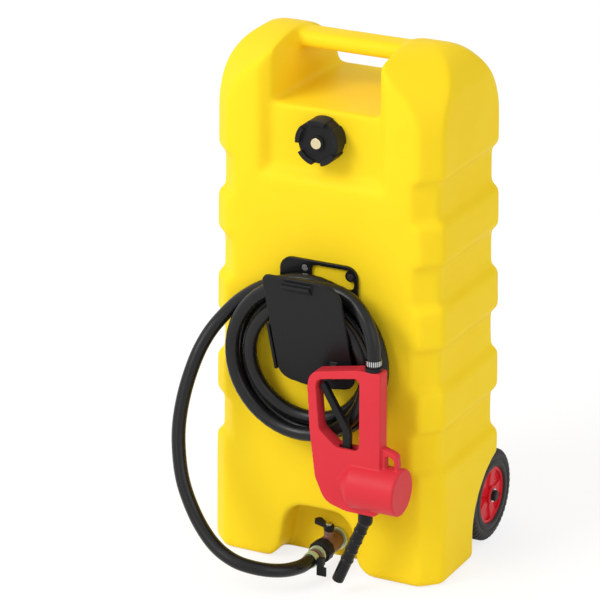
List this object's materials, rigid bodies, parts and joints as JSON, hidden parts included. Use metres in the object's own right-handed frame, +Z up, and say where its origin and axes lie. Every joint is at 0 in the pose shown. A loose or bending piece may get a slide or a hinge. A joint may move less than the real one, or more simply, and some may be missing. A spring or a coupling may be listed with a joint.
{
  "type": "fuel caddy",
  "caption": "Upright wheeled fuel tank with a moulded handle, vented filler cap, outlet ball valve and a coiled hose with a trigger pump nozzle.",
  "frame": {"origin": "on the floor, under the middle of the tank", "axes": "+X to the right seen from the front, +Y to the back where the wheels are, +Z up"},
  "size_m": [0.4095, 0.452, 0.85],
  "materials": {
    "tank": "rotationally moulded, fine orange-peel",
    "hard_black": "satin moulded",
    "seal": "matte",
    "brass": "satin",
    "steel": "zinc plated",
    "valve": "dull cast and turned",
    "white": "smooth",
    "tyre": "matte with fine tread blocks",
    "hub": "glossy moulded",
    "hose": "satin",
    "nozzle": "satin moulded"
  },
  "bodies": {
    "caddy": {"tank": "tank", "axle": "steel", "axle_bracket_left": "hard_black", "axle_bracket_right": "hard_black", "bracket_screws": "steel", "wheel_washers": "steel", "axle_caps": "hard_black", "hanger_frame": "hard_black", "hanger_screws": "steel", "hanger_panel": "hard_black", "outlet_fitting": "valve", "outlet_gasket": "seal", "outlet_lock_nut": "valve", "valve_body": "valve", "valve_seats": "white", "union_seal": "seal", "hose_barb": "valve", "hose_clamp": "steel", "hose_free": "hose", "hose_coil": "hose", "hose_ferrule": "steel", "nozzle_inlet": "hard_black", "nozzle_front": "nozzle", "nozzle_rear": "nozzle", "nozzle_screws": "steel", "trigger_pin": "steel", "pump_barrel": "nozzle", "pump_end_cap": "nozzle", "pump_spring": "steel", "spout": "hard_black"},
    "left_wheel": {"tyre_left": "tyre", "hub_left": "hub", "hub_bush_left": "white"},
    "right_wheel": {"tyre_right": "tyre", "hub_right": "hub", "hub_bush_right": "white"},
    "cap_liner": {"cap_gasket": "seal"},
    "cap": {"filler_cap": "hard_black", "vent_cage": "brass", "vent_spring": "steel"},
    "vent": {"vent_pin": "brass"},
    "valve_turner": {"valve_ball": "valve", "valve_stem": "valve", "valve_handle": "hard_black", "handle_screw": "steel"},
    "hose_nut": {"union_nut": "hard_black"},
    "clamp_screw": {"clamp_key": "hard_black"},
    "trigger_lever": {"trigger": "hard_black"},
    "pump_rod": {"pump_piston": "hard_black", "piston_seal": "seal"}
  },
  "joints": [
    {"name": "left_wheel_spin", "type": "hinge", "parent": "caddy", "child": "left_wheel", "pos_m": [-0.1739, 0.098, 0.075], "axis": [1, 0, 0], "continuous": true},
    {"name": "right_wheel_spin", "type": "hinge", "parent": "caddy", "child": "right_wheel", "pos_m": [0.1739, 0.098, 0.075], "axis": [1, 0, 0], "continuous": true},
    {"name": "cap_rise", "type": "slide", "parent": "caddy", "child": "cap_liner", "axis": [0, -1, 0], "range_m": [0, 0.008]},
    {"name": "cap_turn", "type": "hinge", "parent": "cap_liner", "child": "cap", "pos_m": [0, -0.13, 0.711], "axis": [0, -1, 0], "range_deg": [0, 720]},
    {"name": "vent_push", "type": "slide", "parent": "cap", "child": "vent", "axis": [0, 1, 0], "range_m": [0, 0.0025], "stiffness_N_per_m": 800, "springref_m": -0.002, "deforming": ["vent_spring"]},
    {"name": "valve_turn", "type": "hinge", "parent": "caddy", "child": "valve_turner", "pos_m": [0.004, -0.1078, 0.034], "axis": [0, 0, 1], "range_deg": [0, 90]},
    {"name": "union_nut_spin", "type": "hinge", "parent": "caddy", "child": "hose_nut", "pos_m": [0.004, -0.1357, 0.034], "axis": [0, 1, 0], "continuous": true},
    {"name": "clamp_key_spin", "type": "hinge", "parent": "caddy", "child": "clamp_screw", "pos_m": [0.022, -0.1698, 0.02], "axis": [0, 0, 1], "continuous": true},
    {"name": "trigger_pull", "type": "hinge", "parent": "caddy", "child": "trigger_lever", "pos_m": [0.078, -0.196, 0.238], "axis": [0, 1, 0], "range_deg": [0, 14], "stiffness_Nm_per_rad": 3, "springref_deg": -11.46},
    {"name": "pump_stroke", "type": "slide", "parent": "caddy", "child": "pump_rod", "axis": [-1, 0, 0], "range_m": [0, 0.0108], "deforming": ["pump_spring"]}
  ],
  "couplings": [
    {"joint": "cap_rise", "follows": "cap_turn", "m_per_rad": 0.00063662},
    {"joint": "pump_stroke", "follows": "trigger_pull", "m_per_rad": 0.0442}
  ]
}
